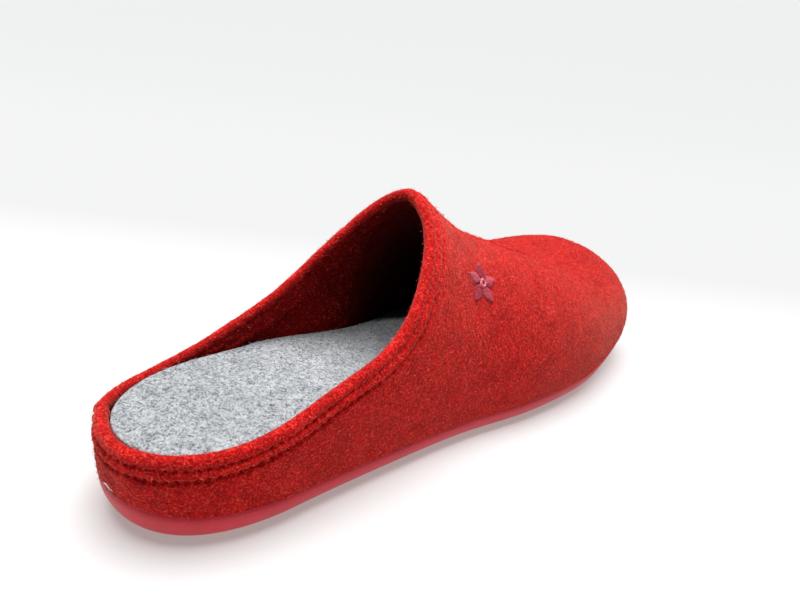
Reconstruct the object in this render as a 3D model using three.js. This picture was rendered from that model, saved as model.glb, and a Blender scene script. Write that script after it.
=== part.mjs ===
import * as THREE from "three";

// Felt house slipper for the right foot, open at the heel: a rubber outsole, a thick felt
// insole, and a felt upper whose collar edge is folded in and stitched down.
// Lengths are in millimetres. +Y runs to the toe, +X to the outer side of the foot, +Z up.

// Overall form
const LENGTH = 258;
const BALL_WIDTH = 94;
const INSTEP_HEIGHT = 79;
const HEEL_ROUND = 41;
const HEEL_POWER = 2.06;
const TOE_ROUND = 54;
const TOE_POWER = 2.34;
const HEEL_LEAN = 29;
const TOE_LEAN = 34.5;

// Felt
const FELT = 3;
const HEM_THICKNESS = 4.2;
const HEM_DEPTH = 9;
const HEM_STEP = 0.8;
const HEM_EASE = 3;

// Rubber outsole: thickness of its edge, and the shape of its underside
const SOLE_BACK = 12.6;
const SOLE_COUNTER = 10.9;
const SOLE_HEEL = 10.1;
const SOLE_WAIST = 9;
const SOLE_BALL = 8.8;
const SOLE_TOE = 6;
const TOE_SPRING = 8.5;
const SPRING_START = 172;
const ARCH_RISE = 1.5;
const ARCH_START = 70;
const ARCH_END = 150;

// Felt insole: its thickness above the outsole
const INSOLE_BACK = 13.5;
const INSOLE_COUNTER = 15.4;
const INSOLE_HEEL = 16.6;
const INSOLE_SEAT = 17.2;
const INSOLE_WAIST = 13.2;
const INSOLE_BALL = 8;
const INSOLE_TOE = 7;
const INSOLE_EDGE = 1;

// Free space between touching pieces
const GAP = 0.3;
const INSOLE_CLEARANCE = 0.5;

// The last seen from above. at is a share of the length; centre and half are shares of the ball width.
const PLAN = [
  { at: 0.0, centre: 0.0, half: 0.348 },
  { at: 0.12, centre: 0.001, half: 0.33 },
  { at: 0.28, centre: 0.007, half: 0.342 },
  { at: 0.42, centre: 0.03, half: 0.357 },
  { at: 0.56, centre: 0.015, half: 0.445 },
  { at: 0.7, centre: -0.025, half: 0.5 },
  { at: 0.84, centre: -0.072, half: 0.488 },
  { at: 1.0, centre: -0.103, half: 0.488 },
];

// The top line of the last, above the outsole's edge. height is a share of the instep height,
// and aside, a share of the ball width, moves the line off the plan's centre.
const RIDGE = [
  { at: 0.1, height: 0.81, aside: -0.01 },
  { at: 0.28, height: 0.87, aside: -0.04 },
  { at: 0.42, height: 0.945, aside: -0.057 },
  { at: 0.46, height: 0.857, aside: -0.062 },
  { at: 0.5, height: 0.766, aside: -0.066 },
  { at: 0.58, height: 0.662, aside: -0.072 },
  { at: 0.7, height: 0.53, aside: -0.071 },
  { at: 0.86, height: 0.488, aside: -0.06 },
];

// Cross-sections. power is that of a superellipse, with inner added on the inner side of the foot.
// tuck is how far the arc starts below the widest line, in degrees, so that the felt turns under
// towards the sole.
const SECTION = [
  { at: 0.0, power: 3.2, inner: 0.0, tuck: 8.5 },
  { at: 0.12, power: 2.9, inner: 0.0, tuck: 9.3 },
  { at: 0.28, power: 2.4, inner: -0.16, tuck: 10.3 },
  { at: 0.42, power: 1.75, inner: -0.05, tuck: 11.2 },
  { at: 0.56, power: 1.88, inner: 0.0, tuck: 12 },
  { at: 0.7, power: 2.13, inner: 0.0, tuck: 13 },
  { at: 0.84, power: 2.15, inner: 0.0, tuck: 14 },
  { at: 1.0, power: 2.27, inner: 0.0, tuck: 15 },
];

// The collar's edge above the outsole's edge, as shares of the instep height. inner is what the
// inner side of the foot has more.
const COLLAR = [
  { at: 0.0, height: 0.187, inner: 0.0 },
  { at: 0.04, height: 0.219, inner: -0.014 },
  { at: 0.1, height: 0.251, inner: -0.033 },
  { at: 0.2, height: 0.36, inner: -0.04 },
  { at: 0.3, height: 0.518, inner: -0.008 },
  { at: 0.36, height: 0.748, inner: -0.018 },
  { at: 0.4, height: 0.906, inner: 0.0 },
  { at: 0.415, height: 0.966, inner: 0.0 },
  { at: 0.46, height: 1.143, inner: 0.0 },
];
const COLLAR_END_SLOPE = 4.28;

const SOLE_EDGE = [
  { at: 0.0, thickness: SOLE_BACK, tuckedIn: 8.6 },
  { at: 0.04, thickness: SOLE_COUNTER, tuckedIn: 8.6 },
  { at: 0.1, thickness: SOLE_HEEL, tuckedIn: 8.6 },
  { at: 0.3, thickness: SOLE_WAIST, tuckedIn: 8.7 },
  { at: 0.65, thickness: SOLE_BALL, tuckedIn: 9 },
  { at: 1.0, thickness: SOLE_TOE, tuckedIn: 10 },
];

const INSOLE_TOP = [
  { at: 0.0, thickness: INSOLE_BACK },
  { at: 0.04, thickness: INSOLE_COUNTER },
  { at: 0.1, thickness: INSOLE_HEEL },
  { at: 0.2, thickness: INSOLE_SEAT },
  { at: 0.4, thickness: INSOLE_WAIST },
  { at: 0.6, thickness: INSOLE_BALL },
  { at: 1.0, thickness: INSOLE_TOE },
];

const RED = 0xa41c1a;
const RASPBERRY = 0xa8303f;
const PALE_GREY = 0xb9bcc0;

// How finely the curved forms are faceted
const REAR_STATIONS = 36;
const FRONT_STATIONS = 22;
const WALL_ROWS = 9;
const HEM_ROWS = 3;
const FOLD_ROWS = 5;
const SOLE_STATIONS = 34;
const SIDE_ROWS = 5;
const FACE_RINGS = 3;
const INSOLE_STATIONS = 32;
const LINE_SAMPLES = 400;
const PRECISION = 1e-9;
const TOUCHING = 1e-3;

const OUTER_SIDE = 1;
const INNER_SIDE = -1;
const RIGHT_ANGLE = Math.PI / 2;

// Value of a column at a share of the length, on a smooth curve through the table's rows.
function along(rows, column, at) {
  const last = rows.length - 1;
  const x = THREE.MathUtils.clamp(at, rows[0].at, rows[last].at);
  let i = 0;
  while (i < last - 1 && x > rows[i + 1].at) i += 1;
  const rise = (k) => (rows[k + 1][column] - rows[k][column]) / (rows[k + 1].at - rows[k].at);
  const slope = (k) => {
    if (k === 0) return rise(0);
    if (k === last) return rise(last - 1);
    const before = rows[k].at - rows[k - 1].at;
    const after = rows[k + 1].at - rows[k].at;
    return (rise(k - 1) * after + rise(k) * before) / (before + after);
  };
  const span = rows[i + 1].at - rows[i].at;
  const t = (x - rows[i].at) / span;
  return (
    (2 * t ** 3 - 3 * t ** 2 + 1) * rows[i][column] +
    (t ** 3 - 2 * t ** 2 + t) * span * slope(i) +
    (3 * t ** 2 - 2 * t ** 3) * rows[i + 1][column] +
    (t ** 3 - t ** 2) * span * slope(i + 1)
  );
}

// Share of the full width that is left at a distance from an end that is rounded over a reach.
function roundEnd(distance, reach, power) {
  const short = THREE.MathUtils.clamp(1 - distance / reach, 0, 1);
  return (1 - short ** power) ** (1 / power);
}

// Height of the underside, which is flat under heel and ball, and springs up to the toe.
function undersideHeight(y) {
  const t = Math.max(0, (y - SPRING_START) / (LENGTH - SPRING_START));
  return TOE_SPRING * t * t;
}

// Height of the outsole's upper edge, where the felt begins.
function soleEdgeHeight(y) {
  return undersideHeight(y) + along(SOLE_EDGE, "thickness", y / LENGTH);
}

// Widest line of the last at a station, seen from above.
function planPoint(y, side) {
  const heel = roundEnd(y, HEEL_ROUND, HEEL_POWER);
  const toe = roundEnd(LENGTH - y, TOE_ROUND, TOE_POWER);
  const half = along(PLAN, "half", y / LENGTH) * BALL_WIDTH * heel * toe;
  const centre = along(PLAN, "centre", y / LENGTH) * BALL_WIDTH;
  return new THREE.Vector3(centre + side * half, y, 0);
}

// Top line of the last at a station. It is shorter than the plan, so sections fan out at both ends.
function ridgePoint(y) {
  const ridgeY = HEEL_LEAN + (1 - (HEEL_LEAN + TOE_LEAN) / LENGTH) * y;
  const at = ridgeY / LENGTH;
  const x = (along(PLAN, "centre", at) + along(RIDGE, "aside", at)) * BALL_WIDTH;
  const height = soleEdgeHeight(ridgeY) + along(RIDGE, "height", at) * INSTEP_HEIGHT;
  return new THREE.Vector3(x, ridgeY, height);
}

// Point of the felt's outer surface, at an angle from the widest line (0) to the ridge (a right angle).
function lastPoint(y, side, angle) {
  const at = y / LENGTH;
  const inner = side === INNER_SIDE ? along(SECTION, "inner", at) : 0;
  const edge = 2 / (along(SECTION, "power", at) + inner);
  const below = Math.sin(THREE.MathUtils.degToRad(along(SECTION, "tuck", at))) ** edge;
  const inward = 1 - Math.abs(Math.cos(angle)) ** edge;
  const up = (Math.sign(angle) * Math.abs(Math.sin(angle)) ** edge + below) / (1 + below);
  const widest = planPoint(y, side);
  const ridge = ridgePoint(y);
  const point = angle === RIGHT_ANGLE ? ridge.clone() : widest.clone().lerp(ridge, inward);
  const foot = soleEdgeHeight(y);
  point.z = foot + (ridge.z - foot) * up;
  return point;
}

function lowestAngle(y) {
  return -THREE.MathUtils.degToRad(along(SECTION, "tuck", y / LENGTH));
}

// Value between two others up to which a test holds, found by halving.
function lastThat(holds, from, to) {
  let low = from;
  let high = to;
  while (high - low > PRECISION) {
    const middle = (low + high) / 2;
    if (holds(middle)) low = middle;
    else high = middle;
  }
  return (low + high) / 2;
}

// Angle at which the section at a station reaches a surface of given height(y, side).
function angleAtHeight(y, side, height) {
  const ridge = ridgePoint(y);
  if (ridge.z < height(ridge.y, side) + TOUCHING) return RIGHT_ANGLE;
  const isUnder = (angle) => {
    const point = lastPoint(y, side, angle);
    return point.z < height(point.y, side);
  };
  return lastThat(isUnder, lowestAngle(y), RIGHT_ANGLE);
}

// Height of the collar's edge, which goes straight on past the table's last row.
function collarHeight(y, side) {
  const last = COLLAR[COLLAR.length - 1];
  const at = y / LENGTH;
  let share = along(COLLAR, "height", at);
  if (at > last.at) share += (at - last.at) * COLLAR_END_SLOPE;
  if (side === INNER_SIDE) share += along(COLLAR, "inner", at);
  return soleEdgeHeight(y) + share * INSTEP_HEIGHT;
}

// Height of a line that runs a distance below the collar's edge.
function belowCollar(distance) {
  return (y, side) => {
    const slope = (collarHeight(y + 1, side) - collarHeight(y - 1, side)) / 2;
    return collarHeight(y, side) - distance * Math.hypot(1, slope);
  };
}

// Station at which a line below the collar meets the ridge.
function stationOnRidge(height) {
  const isOpen = (y) => {
    const ridge = ridgePoint(y);
    return ridge.z > height(ridge.y, OUTER_SIDE);
  };
  return lastThat(isOpen, 0, LENGTH);
}

// Stations from one to another, crowded towards both.
function crowded(from, to, count) {
  return Array.from(
    { length: count + 1 },
    (_, i) => from + ((to - from) * (1 - Math.cos((Math.PI * i) / count))) / 2,
  );
}

// A shell or a solid is a list of shared points and triangles between them.
class Surface {
  constructor() {
    this.points = [];
    this.triangles = [];
    this.known = new Map();
  }

  add(point) {
    const key = point.toArray().map((value) => Math.round(value * 1e3)).join();
    if (!this.known.has(key)) {
      this.known.set(key, this.points.length);
      this.points.push(point.clone());
    }
    return this.known.get(key);
  }

  triangle(a, b, c) {
    if (a !== b && b !== c && c !== a) this.triangles.push([a, b, c]);
  }

  quad(a, b, c, d) {
    this.triangle(a, b, c);
    this.triangle(a, c, d);
  }

  // Joins two loops of as many points, the second on the left of the first.
  band(first, second) {
    first.forEach((a, i) => {
      const j = (i + 1) % first.length;
      this.quad(a, first[j], second[j], second[i]);
    });
  }

  geometry() {
    const positions = new Float32Array(this.points.flatMap((point) => point.toArray()));
    const geometry = new THREE.BufferGeometry();
    geometry.setAttribute("position", new THREE.BufferAttribute(positions, 3));
    geometry.setIndex(this.triangles.flat());
    geometry.computeVertexNormals();
    return geometry;
  }
}

// Columns round the last: the outer side from heel to toe, then the inner side back to the heel.
function around(stations) {
  const outer = stations.map((y) => ({ y, side: OUTER_SIDE }));
  const inner = stations.slice(1, -1).reverse().map((y) => ({ y, side: INNER_SIDE }));
  return [...outer, ...inner];
}

// Level unit normals of a loop of points, pointing out of the shoe.
function outwardNormals(loop) {
  return loop.map((_, i) => {
    const before = loop[(i + loop.length - 1) % loop.length];
    const after = loop[(i + 1) % loop.length];
    return new THREE.Vector3(after.y - before.y, before.x - after.x, 0).normalize();
  });
}

// Rings of points that close a loop in towards the line below the ridge, at a height(point, share).
function ringsInward(loop, columns, count, height) {
  return Array.from({ length: count }, (_, k) => {
    const share = (k + 1) / count;
    return loop.map((start, i) => {
      const middle = ridgePoint(columns[i].y);
      const point = start.clone().lerp(middle, share);
      if (share === 1) point.copy(middle);
      point.z = height(point, share);
      return point;
    });
  });
}

// Solid between a stack of rings, from the middle of its underside to the middle of its top.
function solidOfRings(rings) {
  const solid = new Surface();
  const loops = rings.map((ring) => ring.map((point) => solid.add(point)));
  loops.slice(1).forEach((loop, k) => solid.band(loops[k], loop));
  return solid.geometry();
}

// Columns at one side of the open rear, from the heel to the ridge. Where they cross a line below
// the collar they are evenly spaced along it.
function rearColumns(line, side) {
  const stations = crowded(0, stationOnRidge(line), LINE_SAMPLES);
  const path = stations.map((y) => lastPoint(y, side, angleAtHeight(y, side, line)));
  const run = [0];
  path.slice(1).forEach((point, i) => run.push(run[i] + point.distanceTo(path[i])));
  let i = 1;
  return Array.from({ length: REAR_STATIONS + 1 }, (_, k) => {
    const target = (run[LINE_SAMPLES] * k) / REAR_STATIONS;
    while (i < LINE_SAMPLES && run[i] < target) i += 1;
    const share = (target - run[i - 1]) / (run[i] - run[i - 1]);
    return { y: THREE.MathUtils.lerp(stations[i - 1], stations[i], share), side };
  });
}

// Felt wall seen from outside, as a sheet with a thickness at each of its points. The hem's rows
// go round the collar alone.
function makeFeltSheet() {
  const sheet = new Surface();
  const thickness = [];
  const keep = (point, thick) => {
    const index = sheet.add(point);
    if (thickness[index] === undefined) thickness[index] = thick;
    return index;
  };

  const hemLine = belowCollar(HEM_DEPTH);
  const toe = around(crowded(stationOnRidge(hemLine), LENGTH, FRONT_STATIONS)).slice(1);
  const inner = rearColumns(hemLine, INNER_SIDE).slice(1).reverse();
  const columns = [...rearColumns(hemLine, OUTER_SIDE), ...toe, ...inner];
  const wall = Array.from({ length: WALL_ROWS + 1 }, () => []);
  columns.forEach(({ y, side }) => {
    const bottom = angleAtHeight(y, side, (at) => soleEdgeHeight(at) + GAP);
    const hem = angleAtHeight(y, side, hemLine);
    wall.forEach((loop, row) => {
      const angle = THREE.MathUtils.lerp(bottom, hem, row / WALL_ROWS);
      loop.push(keep(lastPoint(y, side, angle), FELT));
    });
  });

  const top = wall[WALL_ROWS];
  const collar = [[...top.slice(0, REAR_STATIONS + 1), ...top.slice(1 - REAR_STATIONS)]];
  for (let row = 0; row <= HEM_ROWS; row += 1) {
    const line = belowCollar(THREE.MathUtils.lerp(HEM_DEPTH - HEM_STEP, HEM_THICKNESS / 2, row / HEM_ROWS));
    const back = rearColumns(line, INNER_SIDE).slice(1, -1).reverse();
    const loop = [...rearColumns(line, OUTER_SIDE), ...back];
    const onLine = ({ y, side }) => lastPoint(y, side, angleAtHeight(y, side, line));
    collar.push(loop.map((column) => keep(onLine(column), HEM_THICKNESS)));
  }

  wall.slice(1).forEach((loop, k) => sheet.band(wall[k], loop));
  collar.slice(1).forEach((loop, k) => sheet.band(collar[k], loop));
  return { sheet, thickness, bottomLoop: wall[0], rimLoop: collar[collar.length - 1] };
}

// The upper: the felt sheet given its wall, with a round folded edge at the collar.
function makeUpper() {
  const { sheet, thickness, bottomLoop, rimLoop } = makeFeltSheet();
  const normals = sheet.geometry().getAttribute("normal");
  const normalOf = (index) => new THREE.Vector3().fromBufferAttribute(normals, index);
  const inside = sheet.points.map((point, i) => point.clone().addScaledVector(normalOf(i), -thickness[i]));

  // The lower edge stands on the outsole.
  const level = outwardNormals(bottomLoop.map((i) => sheet.points[i]));
  bottomLoop.forEach((index, i) => {
    const foot = sheet.points[index].clone().addScaledVector(level[i], -FELT);
    foot.z = soleEdgeHeight(foot.y) + GAP;
    inside[index] = foot;
  });

  const wall = new Surface();
  const outer = sheet.points.map((point) => wall.add(point));
  const inner = inside.map((point) => wall.add(point));
  sheet.triangles.forEach(([a, b, c]) => {
    wall.triangle(outer[a], outer[b], outer[c]);
    wall.triangle(inner[a], inner[c], inner[b]);
  });
  wall.band(bottomLoop.map((i) => inner[i]), bottomLoop.map((i) => outer[i]));

  const fold = foldedEdge(sheet, normalOf, rimLoop).map((ring) => ring.map((point) => wall.add(point)));
  const rings = [rimLoop.map((i) => outer[i]), ...fold, rimLoop.map((i) => inner[i])];
  rings.slice(1).forEach((ring, k) => wall.band(rings[k], ring));
  return wall.geometry();
}

// Rings of the half round that joins the wall's two faces at the collar.
function foldedEdge(sheet, normalOf, rimLoop) {
  const radius = HEM_THICKNESS / 2;
  return Array.from({ length: FOLD_ROWS - 1 }, (_, k) => {
    const turn = (Math.PI * (k + 1)) / FOLD_ROWS;
    return rimLoop.map((index, i) => {
      const before = sheet.points[rimLoop[(i + rimLoop.length - 1) % rimLoop.length]];
      const after = sheet.points[rimLoop[(i + 1) % rimLoop.length]];
      const normal = normalOf(index);
      const upward = normal.clone().cross(after.clone().sub(before)).normalize();
      return sheet.points[index]
        .clone()
        .addScaledVector(normal, radius * (Math.cos(turn) - 1))
        .addScaledVector(upward, radius * Math.sin(turn));
    });
  });
}

// The outsole: a flat top under the felt, and a side that curves in to the floor.
function makeOutsole() {
  const columns = around(crowded(0, LENGTH, SOLE_STATIONS));
  const edge = columns.map(({ y, side }) => {
    const point = lastPoint(y, side, lowestAngle(y));
    point.z = soleEdgeHeight(point.y);
    return point;
  });
  const outward = outwardNormals(edge);
  const side = Array.from({ length: SIDE_ROWS }, (_, k) => {
    const turn = (RIGHT_ANGLE * (k + 1)) / SIDE_ROWS;
    return edge.map((start, i) => {
      const at = start.y / LENGTH;
      const inset = along(SOLE_EDGE, "tuckedIn", at) * (1 - Math.cos(turn));
      const point = start.clone().addScaledVector(outward[i], -inset);
      const thickness = along(SOLE_EDGE, "thickness", point.y / LENGTH);
      point.z = undersideHeight(point.y) + thickness * (1 - Math.sin(turn));
      return point;
    });
  });
  const underside = (point, share) => undersideHeight(point.y) + archRise(point.y) * share * (2 - share);
  const floorRings = ringsInward(side[SIDE_ROWS - 1], columns, FACE_RINGS, underside);
  const topRings = ringsInward(edge, columns, FACE_RINGS, (point) => soleEdgeHeight(point.y));
  return solidOfRings([...floorRings.reverse(), ...side.reverse(), edge, ...topRings]);
}

function archRise(y) {
  const t = THREE.MathUtils.clamp((y - ARCH_START) / (ARCH_END - ARCH_START), 0, 1);
  return ARCH_RISE * Math.sin(Math.PI * t) ** 2;
}

// The insole fills the shoe between its felt walls, and is cut in to clear the folded hem at the heel.
function makeInsole() {
  const columns = around(crowded(0, LENGTH, INSOLE_STATIONS));
  const hemLine = belowCollar(HEM_DEPTH);
  const thicknessAt = (y) => along(INSOLE_TOP, "thickness", y / LENGTH);
  const wallAt = (y, side) => {
    const reach = soleEdgeHeight(y) + thicknessAt(y) + HEM_STEP - hemLine(y, side);
    const share = THREE.MathUtils.smoothstep(reach, -HEM_EASE, 0);
    return FELT + (HEM_THICKNESS - FELT) * share;
  };
  const ring = (share, rounding) => {
    const loop = columns.map(({ y, side }) => {
      const height = (at) => soleEdgeHeight(at) + GAP + thicknessAt(at) * share;
      return lastPoint(y, side, angleAtHeight(y, side, height));
    });
    const outward = outwardNormals(loop);
    return loop.map((point, i) => {
      const inset = wallAt(point.y, columns[i].side) + INSOLE_CLEARANCE + rounding;
      point.addScaledVector(outward[i], -inset);
      point.z = soleEdgeHeight(point.y) + GAP + thicknessAt(point.y) * share;
      return point;
    });
  };
  const bottom = ring(0, 0);
  const shoulder = ring(1, 0);
  shoulder.forEach((point) => (point.z -= INSOLE_EDGE));
  const rim = ring(1, INSOLE_EDGE);
  const floorRings = ringsInward(bottom, columns, FACE_RINGS, (point) => soleEdgeHeight(point.y) + GAP);
  const top = (point) => soleEdgeHeight(point.y) + GAP + thicknessAt(point.y);
  const topRings = ringsInward(rim, columns, FACE_RINGS, top);
  return solidOfRings([...floorRings.reverse(), bottom, shoulder, rim, ...topRings]);
}

function felt(color) {
  return new THREE.MeshStandardMaterial({ color, roughness: 0.95, metalness: 0 });
}

function rubber(color) {
  return new THREE.MeshStandardMaterial({ color, roughness: 0.5, metalness: 0 });
}

function named(name, geometry, material) {
  const mesh = new THREE.Mesh(geometry, material);
  mesh.name = name;
  return mesh;
}

const slipper = new THREE.Group();
slipper.add(
  named("outsole", makeOutsole(), rubber(RASPBERRY)),
  named("insole", makeInsole(), felt(PALE_GREY)),
  named("upper", makeUpper(), felt(RED)),
);

// The origin is on the floor, in the middle of the shoe's length and width.
const reach = new THREE.Box3().setFromObject(slipper, true);
const centre = reach.getCenter(new THREE.Vector3());
slipper.position.set(-centre.x, -centre.y, -reach.min.z);

export default slipper;
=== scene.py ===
"""Felt house slipper for the right foot, dressed over its CAD frame.

Lengths of the shoe are in millimetres, measured from the back of the heel on its own centre line:
+Y runs to the toe, +X to the outer side of the foot, +Z up. They repeat the sizes of the part's
source, except where a comment says otherwise, because this script can't read that file.
"""

import math

import bpy
import numpy as np
from mathutils import Matrix, Vector


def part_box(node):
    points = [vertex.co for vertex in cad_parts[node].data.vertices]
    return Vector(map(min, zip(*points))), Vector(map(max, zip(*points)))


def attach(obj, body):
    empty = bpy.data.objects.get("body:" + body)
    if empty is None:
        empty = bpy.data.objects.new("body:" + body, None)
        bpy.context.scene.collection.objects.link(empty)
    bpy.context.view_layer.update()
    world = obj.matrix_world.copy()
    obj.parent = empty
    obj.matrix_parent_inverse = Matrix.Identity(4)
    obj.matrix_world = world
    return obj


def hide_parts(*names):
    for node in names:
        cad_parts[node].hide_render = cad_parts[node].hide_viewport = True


MM = 0.001

# Overall form
LENGTH = 258
BALL_WIDTH = 94
INSTEP_HEIGHT = 79
HEEL_ROUND = 41
HEEL_POWER = 2.06
TOE_ROUND = 54
TOE_POWER = 2.34
HEEL_LEAN = 29
TOE_LEAN = 34.5

# Felt
FELT = 3
HEM_THICKNESS = 4.2
HEM_DEPTH = 9
HEM_STEP = 0.8
HEM_EASE = 3

# Rubber outsole: its underside, and how its edge is rounded in under the felt
EDGE_INSET = 1.0
EDGE_DEPTH = 3.0
TOE_SPRING = 8.5
SPRING_START = 172
ARCH_RISE = 1.5
ARCH_START = 70
ARCH_END = 150

# Felt insole: softer at its edge, and nearer to the wall, than its solid in the part's source
INSOLE_EDGE = 0.7
GAP = 0.3
INSOLE_CLEARANCE = 0.25

PLAN = {
    "at": (0, 0.12, 0.28, 0.42, 0.56, 0.7, 0.84, 1),
    "centre": (0, 0.001, 0.007, 0.03, 0.015, -0.025, -0.072, -0.103),
    "half": (0.348, 0.33, 0.342, 0.357, 0.445, 0.5, 0.488, 0.488),
}
RIDGE = {
    "at": (0.1, 0.28, 0.42, 0.46, 0.5, 0.58, 0.7, 0.86),
    "height": (0.81, 0.87, 0.945, 0.857, 0.766, 0.662, 0.53, 0.488),
    "aside": (-0.01, -0.04, -0.057, -0.062, -0.066, -0.072, -0.071, -0.06),
}
SECTION = {
    "at": (0, 0.12, 0.28, 0.42, 0.56, 0.7, 0.84, 1),
    "power": (3.2, 2.9, 2.4, 1.75, 1.88, 2.13, 2.15, 2.27),
    "inner": (0, 0, -0.16, -0.05, 0, 0, 0, 0),
    "tuck": (8.5, 9.3, 10.3, 11.2, 12, 13, 14, 15),
}
COLLAR = {
    "at": (0, 0.04, 0.1, 0.2, 0.3, 0.36, 0.4, 0.415, 0.46),
    "height": (0.187, 0.219, 0.251, 0.36, 0.518, 0.748, 0.906, 0.966, 1.143),
    "inner": (0, -0.014, -0.033, -0.04, -0.008, -0.018, 0, 0, 0),
}
COLLAR_END_SLOPE = 4.28
SOLE_EDGE = {
    "at": (0, 0.04, 0.1, 0.3, 0.65, 1),
    "thickness": (12.6, 10.9, 10.1, 9, 8.8, 6),
    "tucked_in": (8.6, 8.6, 8.6, 8.7, 9, 10),
}
INSOLE_TOP = {
    "at": (0, 0.04, 0.1, 0.2, 0.4, 0.6, 1),
    "thickness": (13.5, 15.4, 16.6, 17.2, 13.2, 8, 7),
}

# Stitching of the folded collar edge: distance below the edge and depth of each row's groove
STITCH_ROWS = ((3.2, 1.0), (6.3, 1.25))
STITCH_PITCH = 2.7
STITCH_LENGTH = 2.1
THREAD_RADIUS = 0.16
THREAD_PINCH = 0.35
GROOVE_HALF_WIDTH = 0.75
GROOVE_THINNING = 0.5

# Points of one stitch: their places along it, and how deep they lie in shares of the groove
STITCH_PLACES = (-0.5, -0.38, -0.15, 0.15, 0.38, 0.5)
STITCH_SINK = (1.5, 1.1, 0.7, 0.7, 1.1, 1.5)

# Pull of the thread on the felt: least, added at a stitch's ends, how sharply, and its limits
PULL_LEAST = 0.42
PULL_ADDED = 0.7
PULL_SHARPNESS = 1.5
PULL_LIMITS = (0.1, 1.2)

# Stations between which the grooves grow shallower, and the share of their depth that is left
STITCH_FADE = (50, 98)
STITCH_FADE_TO = 0.4

# Roll of felt between the two rows of stitching
ROLL_AT = 4.7
ROLL_HALF_WIDTH = 1.2
ROLL_RISE = 0.4

# Where the two ends of the folded edge overlap, on the inner side behind the heel: run from the
# heel, half the width of its edge, how it dies away, its rise, and its foot about the hem's depth
OVERLAP_AT = 17
OVERLAP_EDGE = 1.2
OVERLAP_RUN = 9
OVERLAP_RISE = 1.1
OVERLAP_FOOT = (-1, 2)

# Unevenness: longest wave, size and seed. The insole's starts at its edge and is whole one
# fourth of the way in, as its onset says.
WAVES = 7
SHORTEST_WAVE = 0.4
SLOW_SWELL = (60, 0.28, 7)
FINE_SWELL = (16, 0.22, 12)
UNEVEN_PULL = (26, 0.45, 13)
INSOLE_SWELL = (50, 0.4, 8)
INSOLE_SWELL_ONSET = 4

# How finely the visible forms are built. The finer band reaches down to BAND_DEPTH below the
# collar's edge, the foot of the wall counts as WALL_DEPTH lower, and edges that turn by more than
# SHARP_FROM degrees stay sharp.
LINE_SAMPLES = 2000
REAR_STATIONS = 250
FRONT_STATIONS = 80
BAND_DEPTH = 11
BAND_ROWS = 26
WALL_DEPTH = 4
WALL_ROWS = 26
FOLD_ROWS = 9
SOLE_STATIONS = 120
SOLE_ROWS = 24
SOLE_RINGS = 12
INSOLE_STATIONS = 120
INSOLE_EDGE_ROWS = 4
INSOLE_RINGS = 26
INSOLE_FLOOR_RINGS = 6
THREAD_SIDES = 6
SHARP_FROM = 50

# How closely points are found and told apart
BISECTIONS = 40
TOUCHING = 1e-5
KEY_DIGITS = 4
SMALL_STEP = 0.02
SMALL_TURN = 0.002

# Name of the felt's attribute for painted shade inside the shoe, which is 0 outside, 0.5 inside
# the shoe and 1 deep inside it; the part of the collar's fold over which it rises, and the stations
# between which the painted shade inside deepens
INSIDE_SHADE = "inside"
INSIDE_SHADE_FROM_TO = (0.45, 1.0)
DEEP_SHADE_FROM_TO = (70, 130)

OUTER_SIDE = 1.0
INNER_SIDE = -1.0
RIGHT_ANGLE = math.pi / 2

# How strongly the felt's outer side blooms in the light
OUTER_BLOOM = 0.32
BLOOM_TINT = (1.0, 0.5, 0.38, 1)

# Loose fibres that stand off the felt: how many and their seed, and the station up to which the
# upper's inner side bears them
UPPER_FIBRES = (60000, 9)
INSOLE_FIBRES = (16000, 10)
FUZZY_INSIDE_TO = 105

# Form of a loose fibre: how it lifts, bows, turns down again, curls and twists
FIBRE_LENGTH = (0.8, 2.3)
FIBRE_WIDTH = 0.1
FIBRE_LIFT = 0.9
FIBRE_LIFT_SPREAD = (1.3, 4)
FIBRE_BOW = 0.4
FIBRE_DROOP = 0.25
FIBRE_CURL = 0.35
FIBRE_EARLY_CURL = 0.3
FIBRE_TWIST = 0.6
FIBRE_ROOT = 0.1

# Small sewn flower on the outer side of the vamp: its place, petals of satin stitches, and knots
# at its heart, whose half length is in shares of their distance out. The petals' BROADEST and the
# two FULLNESS values are powers.
FLOWER_AT = 119
FLOWER_ANGLE = 43.5
FLOWER_TURN = 0.35
FLOWER_ROOT = 0.1
PETALS = 5
PETAL_LENGTH = 5.8
PETAL_WIDTH = 4.9
PETAL_START = 1.5
PETAL_BROADEST = 0.8
PETAL_FULLNESS = 0.7
SATIN_STITCHES = 16
SATIN_RISE = 0.7
SATIN_RADIUS = 0.26
SATIN_SLANT = 0.5
SATIN_FULLNESS = 0.4
SATIN_SIDES = 5
SATIN_POINTS = 6
KNOTS = 6
KNOT_OUT = 1.1
KNOT_HALF = 0.8
KNOT_RISE = 0.8
KNOT_RADIUS = 0.5

# Pale stray fibre caught at the back of the heel
STRAY_PATH = ((1.6, -0.2, 14.4), (2.8, -0.6, 15.4), (4.2, -0.5, 15.7), (5.4, -0.2, 14.9), (6.6, 0.1, 14.8))
STRAY_RADIUS = 0.16

# Ways in which the felt's fibres run, as turns about the three axes in radians
FIBRE_TURNS = ((0.3, 0.9, 0.2), (1.4, -0.5, 0.9), (-0.8, 0.4, 2.1), (2.2, 1.3, -0.6))
STREAK_DETAIL = 2

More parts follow.
